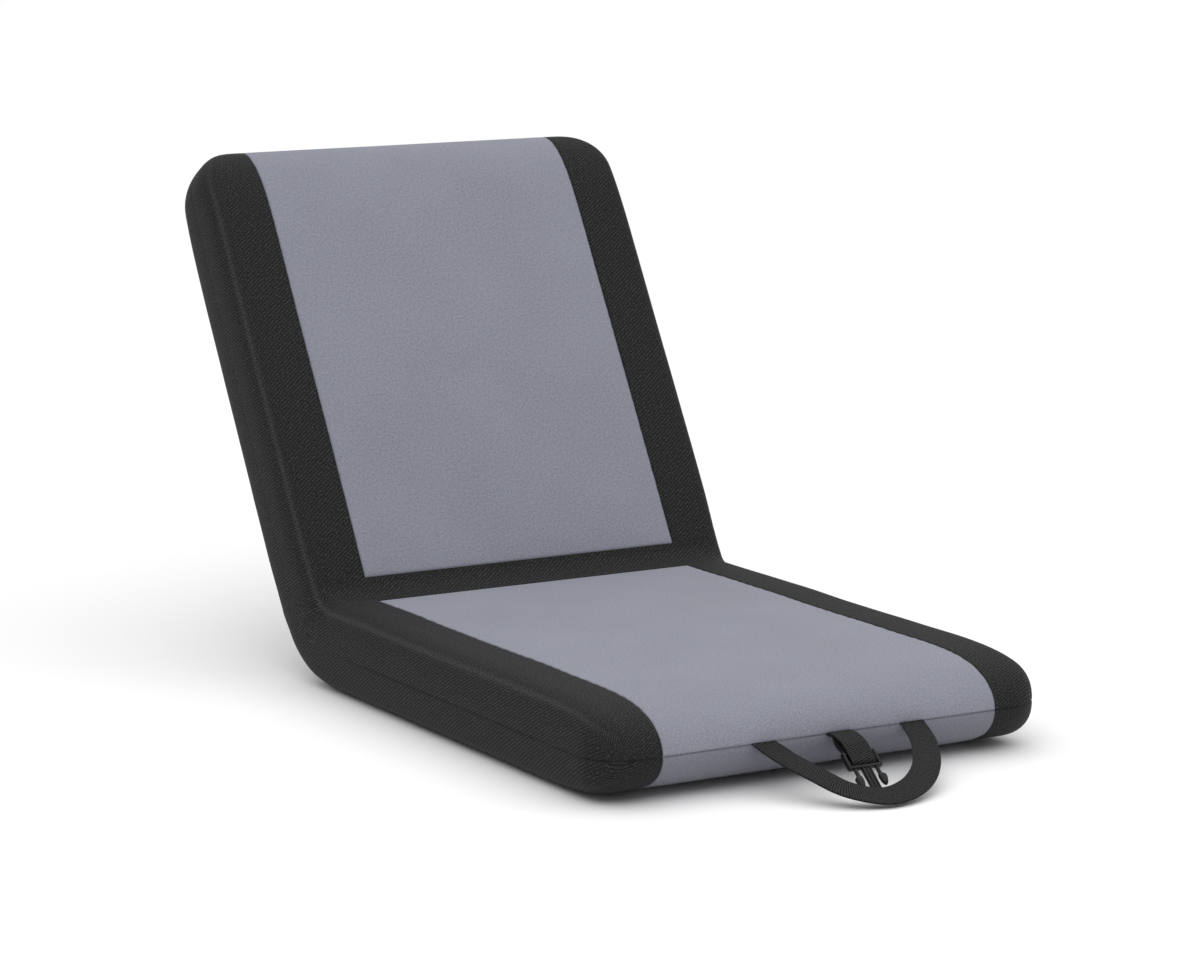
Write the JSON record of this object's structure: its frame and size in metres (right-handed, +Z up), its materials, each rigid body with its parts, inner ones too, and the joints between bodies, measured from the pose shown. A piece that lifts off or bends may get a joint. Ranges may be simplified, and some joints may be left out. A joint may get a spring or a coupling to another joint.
{
  "type": "folding floor chair",
  "caption": "Padded floor chair whose back folds on toothed recline hinges, with a webbing carry handle and a side-release clip that holds it shut.",
  "frame": {"origin": "middle of the flat part of the seat's underside, in the floor plane", "axes": "+X to the right seen from the front, +Y to the rear, +Z up"},
  "size_m": [0.47, 0.9635, 0.4936],
  "materials": {
    "grey_cloth": "matte",
    "black_cloth": "matte",
    "foam": "matte",
    "steel": "satin",
    "painted_tube": "satin",
    "webbing": "matte",
    "clip_plastic": "satin"
  },
  "bodies": {
    "seat": {"seat_foam_upper": "foam", "seat_foam_lower": "foam", "seat_top_panel": "grey_cloth", "seat_bottom_panel": "grey_cloth", "seat_side_upper_left": "black_cloth", "seat_side_upper_right": "black_cloth", "seat_side_lower_left": "black_cloth", "seat_side_lower_right": "black_cloth", "seat_tube_frame": "painted_tube", "seat_cross_tube": "painted_tube", "crease_cover": "black_cloth", "hip_cover": "black_cloth", "hip_foam": "foam", "hinge_ear_left_outer": "steel", "hinge_ear_left_inner": "steel", "hinge_ear_right_outer": "steel", "hinge_ear_right_inner": "steel", "hinge_pin_left": "steel", "hinge_pin_right": "steel", "pawl_pin_left": "steel", "pawl_pin_right": "steel", "pawl_spring_left": "steel", "pawl_spring_right": "steel", "spring_pin_left": "steel", "spring_pin_right": "steel", "seat_rivet_left_near": "steel", "seat_rivet_left_far": "steel", "seat_rivet_right_near": "steel", "seat_rivet_right_far": "steel"},
    "back": {"back_foam_front": "foam", "back_foam_rear": "foam", "back_front_panel": "grey_cloth", "back_rear_panel": "grey_cloth", "back_side_front_left": "black_cloth", "back_side_front_right": "black_cloth", "back_side_rear_left": "black_cloth", "back_side_rear_right": "black_cloth", "back_tube_frame": "painted_tube", "back_cross_tube": "painted_tube", "hinge_arm_left": "steel", "hinge_arm_right": "steel", "back_rivet_left_near": "steel", "back_rivet_left_far": "steel", "back_rivet_right_near": "steel", "back_rivet_right_far": "steel"},
    "pawl_left": {"pawl_left": "steel"},
    "pawl_right": {"pawl_right": "steel"},
    "handle": {"carry_handle": "webbing"},
    "clip": {"clip_strap": "webbing", "clip_plug": "clip_plastic"},
    "socket": {"socket_tape": "webbing", "clip_socket": "clip_plastic"}
  },
  "joints": [
    {"name": "back_fold", "type": "hinge", "parent": "seat", "child": "back", "pos_m": [0, 0.2035, 0.0825], "axis": [1, 0, 0], "range_deg": [-59.7, 114.3], "deforming": ["crease_cover", "hip_cover", "hip_foam"]},
    {"name": "pawl_left_drop", "type": "hinge", "parent": "seat", "child": "pawl_left", "pos_m": [-0.19, 0.1675, 0.0405], "axis": [1, 0, 0], "range_deg": [0, 10], "deforming": ["pawl_spring_left"]},
    {"name": "pawl_right_drop", "type": "hinge", "parent": "seat", "child": "pawl_right", "pos_m": [0.19, 0.1675, 0.0405], "axis": [1, 0, 0], "range_deg": [0, 10], "deforming": ["pawl_spring_right"]},
    {"name": "handle_lift", "type": "hinge", "parent": "seat", "child": "handle", "pos_m": [0.00575, -0.3443, 0.043], "axis": [-1, 0, 0], "range_deg": [0, 90]},
    {"name": "clip_lift", "type": "hinge", "parent": "seat", "child": "clip", "pos_m": [0.00575, -0.3443, 0.043], "axis": [-1, 0, 0], "range_deg": [0, 80]},
    {"name": "socket_lift", "type": "hinge", "parent": "back", "child": "socket", "pos_m": [0.00575, 0.48775, 0.49064], "axis": [1, 0, 0], "range_deg": [0, 100]}
  ],
  "couplings": [
    {"joint": "pawl_right_drop", "follows": "pawl_left_drop", "ratio": 1}
  ]
}
